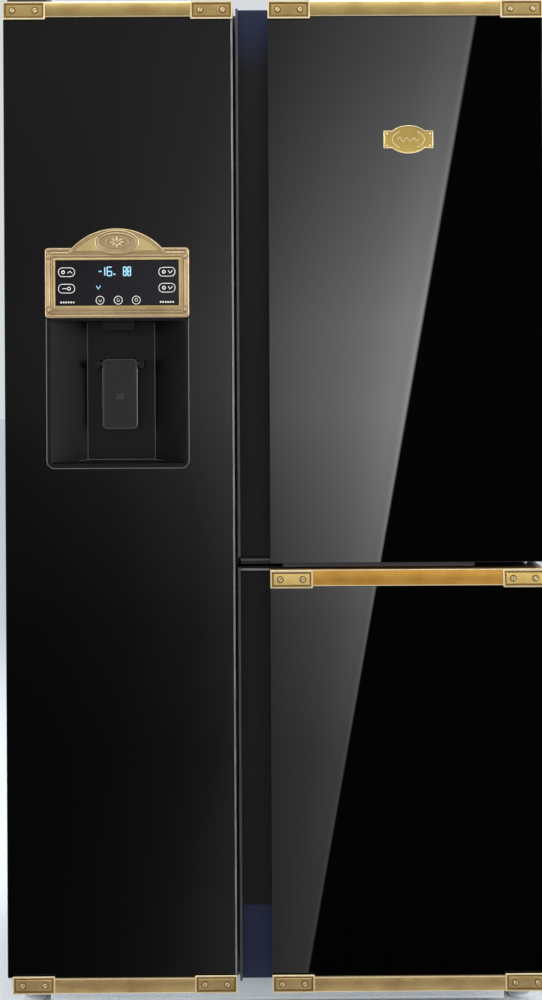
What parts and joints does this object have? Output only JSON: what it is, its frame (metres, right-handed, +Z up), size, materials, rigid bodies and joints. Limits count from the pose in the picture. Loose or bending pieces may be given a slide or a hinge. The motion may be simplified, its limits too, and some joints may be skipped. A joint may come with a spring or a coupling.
{
  "type": "side by side refrigerator",
  "caption": "Tall side by side refrigerator with black glass doors, brass end trims, a recessed grip channel and a door dispenser; hinged doors, pull-out tubs, turning feet.",
  "frame": {"origin": "centre of the overall box at floor level", "axes": "+Z up, the doors face -Y, +X to the right seen from the front"},
  "size_m": [0.912, 0.74, 1.78],
  "materials": {
    "case_paint": "satin dark grey paint",
    "galvanised": "bright zinc-plated steel",
    "foam": "rigid foam",
    "liner_white": "moulded white plastic",
    "clear_plastic": "clear moulded plastic",
    "shelf_glass": "toughened clear glass",
    "door_glass": "black glass, polished",
    "door_body": "satin black coated steel skin",
    "seal_rubber": "soft grey magnetic seal",
    "antique_brass": "brushed antique brass, clear coated",
    "dark_plastic": "black moulded plastic",
    "grey_plastic": "mid grey moulded plastic",
    "display": "tinted display window",
    "black_enamel": "black enamel",
    "fin_aluminium": "plain aluminium fins and tube",
    "lamp_lens": "frosted lens",
    "roller_plastic": "black nylon",
    "foot_rubber": "black moulded foot on a steel screw",
    "kick_grey": "light grey moulded plastic",
    "valve_blue": "blue and white moulded valve",
    "steel_auger": "plain stainless steel"
  },
  "bodies": {
    "cabinet": {"outer_case": "case_paint", "rear_panel": "galvanised", "base_chassis": "galvanised", "insulation": "foam", "freezer_liner": "liner_white", "fridge_liner": "liner_white", "lower_liner": "liner_white", "door_hinges": "galvanised", "hinge_covers": "dark_plastic", "kick_grille": "kick_grey", "compressor": "black_enamel", "condenser_coil": "black_enamel", "fan_shroud": "galvanised", "evaporating_tray": "dark_plastic", "machine_cover": "galvanised", "water_valve": "valve_blue", "evaporator": "fin_aluminium", "ice_maker": "grey_plastic", "freezer_shelves": "shelf_glass", "fridge_shelves": "shelf_glass", "air_ducts": "liner_white", "ceiling_lamps": "lamp_lens"},
    "left_foot": {"levelling_foot_left": "foot_rubber"},
    "right_foot": {"levelling_foot_right": "foot_rubber"},
    "front_roller_pair": {"front_rollers": "roller_plastic"},
    "rear_roller_pair": {"rear_rollers": "roller_plastic"},
    "cooling_fan": {"condenser_fan": "grey_plastic"},
    "freezer_fan": {"evaporator_fan": "grey_plastic"},
    "bucket": {"ice_bucket": "clear_plastic"},
    "auger": {"ice_auger": "steel_auger"},
    "freezer_tub_upper": {"freezer_drawer_upper": "clear_plastic"},
    "freezer_tub_lower": {"freezer_drawer_lower": "clear_plastic"},
    "crisper": {"crisper_drawer": "clear_plastic"},
    "fridge_tub_upper": {"lower_drawer_upper": "clear_plastic"},
    "fridge_tub_lower": {"lower_drawer_lower": "clear_plastic"},
    "filter": {"water_filter": "liner_white"},
    "paddle": {"dispenser_paddle": "dark_plastic"},
    "drip_tray": {"drip_grille": "dark_plastic"},
    "freezer_door": {"freezer_door_shell": "door_body", "freezer_door_glass": "door_glass", "freezer_door_liner": "liner_white", "freezer_door_gasket": "seal_rubber", "freezer_door_bins": "clear_plastic", "freezer_door_trims": "antique_brass", "dispenser_housing": "dark_plastic", "dispenser_bezel": "antique_brass", "dispenser_display": "display"},
    "upper_door": {"upper_door_shell": "door_body", "upper_door_glass": "door_glass", "upper_door_liner": "liner_white", "upper_door_gasket": "seal_rubber", "upper_door_bins": "clear_plastic", "upper_door_trims": "antique_brass", "upper_door_badge": "antique_brass"},
    "lower_door": {"lower_door_shell": "door_body", "lower_door_glass": "door_glass", "lower_door_liner": "liner_white", "lower_door_gasket": "seal_rubber", "lower_door_bins": "clear_plastic", "lower_door_trims": "antique_brass"}
  },
  "joints": [
    {"name": "freezer_door_swing", "type": "hinge", "parent": "cabinet", "child": "freezer_door", "pos_m": [-0.434, -0.285, 0.9], "axis": [0, 0, -1], "range_deg": [0, 115]},
    {"name": "upper_door_swing", "type": "hinge", "parent": "cabinet", "child": "upper_door", "pos_m": [0.434, -0.285, 1.26], "axis": [0, 0, 1], "range_deg": [0, 115]},
    {"name": "lower_door_swing", "type": "hinge", "parent": "cabinet", "child": "lower_door", "pos_m": [0.434, -0.285, 0.42], "axis": [0, 0, 1], "range_deg": [0, 115]},
    {"name": "paddle_press", "type": "hinge", "parent": "freezer_door", "child": "paddle", "pos_m": [-0.265, -0.324, 1.128], "axis": [1, 0, 0], "range_deg": [0, 8], "stiffness_Nm_per_rad": 0.6},
    {"name": "drip_tray_lift", "type": "slide", "parent": "freezer_door", "child": "drip_tray", "axis": [0, 0, 1], "range_m": [0, 0.03]},
    {"name": "left_foot_turn", "type": "hinge", "parent": "cabinet", "child": "left_foot", "pos_m": [-0.432, -0.224, 0.03], "axis": [0, 0, 1], "continuous": true},
    {"name": "right_foot_turn", "type": "hinge", "parent": "cabinet", "child": "right_foot", "pos_m": [0.432, -0.224, 0.03], "axis": [0, 0, 1], "continuous": true},
    {"name": "front_rollers_turn", "type": "hinge", "parent": "cabinet", "child": "front_roller_pair", "pos_m": [0, -0.17, 0.0205], "axis": [1, 0, 0], "continuous": true},
    {"name": "rear_rollers_turn", "type": "hinge", "parent": "cabinet", "child": "rear_roller_pair", "pos_m": [0, 0.31, 0.02], "axis": [1, 0, 0], "continuous": true},
    {"name": "cooling_fan_spin", "type": "hinge", "parent": "cabinet", "child": "cooling_fan", "pos_m": [0.135, 0.23, 0.175], "axis": [1, 0, 0], "continuous": true},
    {"name": "freezer_fan_spin", "type": "hinge", "parent": "cabinet", "child": "freezer_fan", "pos_m": [-0.25, 0.253, 0.9], "axis": [0, 1, 0], "continuous": true},
    {"name": "auger_turn", "type": "hinge", "parent": "bucket", "child": "auger", "pos_m": [-0.265, 0, 1.379], "axis": [0, 1, 0], "continuous": true},
    {"name": "filter_twist", "type": "hinge", "parent": "cabinet", "child": "filter", "pos_m": [0.34, 0, 1.66], "axis": [0, 1, 0], "range_deg": [0, 90]},
    {"name": "bucket_slide", "type": "slide", "parent": "cabinet", "child": "bucket", "axis": [0, -1, 0], "range_m": [0, 0.18]},
    {"name": "freezer_tub_upper_slide", "type": "slide", "parent": "cabinet", "child": "freezer_tub_upper", "axis": [0, -1, 0], "range_m": [0, 0.18]},
    {"name": "freezer_tub_lower_slide", "type": "slide", "parent": "cabinet", "child": "freezer_tub_lower", "axis": [0, -1, 0], "range_m": [0, 0.18]},
    {"name": "crisper_slide", "type": "slide", "parent": "cabinet", "child": "crisper", "axis": [0, -1, 0], "range_m": [0, 0.18]},
    {"name": "fridge_tub_upper_slide", "type": "slide", "parent": "cabinet", "child": "fridge_tub_upper", "axis": [0, -1, 0], "range_m": [0, 0.18]},
    {"name": "fridge_tub_lower_slide", "type": "slide", "parent": "cabinet", "child": "fridge_tub_lower", "axis": [0, -1, 0], "range_m": [0, 0.18]}
  ],
  "couplings": [
    {"joint": "bucket_slide", "follows": "freezer_door_swing", "m_per_rad": 0.0896},
    {"joint": "freezer_tub_upper_slide", "follows": "freezer_door_swing", "m_per_rad": 0.0896},
    {"joint": "freezer_tub_lower_slide", "follows": "freezer_door_swing", "m_per_rad": 0.0896},
    {"joint": "crisper_slide", "follows": "upper_door_swing", "m_per_rad": 0.0896},
    {"joint": "fridge_tub_upper_slide", "follows": "lower_door_swing", "m_per_rad": 0.0896},
    {"joint": "fridge_tub_lower_slide", "follows": "lower_door_swing", "m_per_rad": 0.0896}
  ]
}
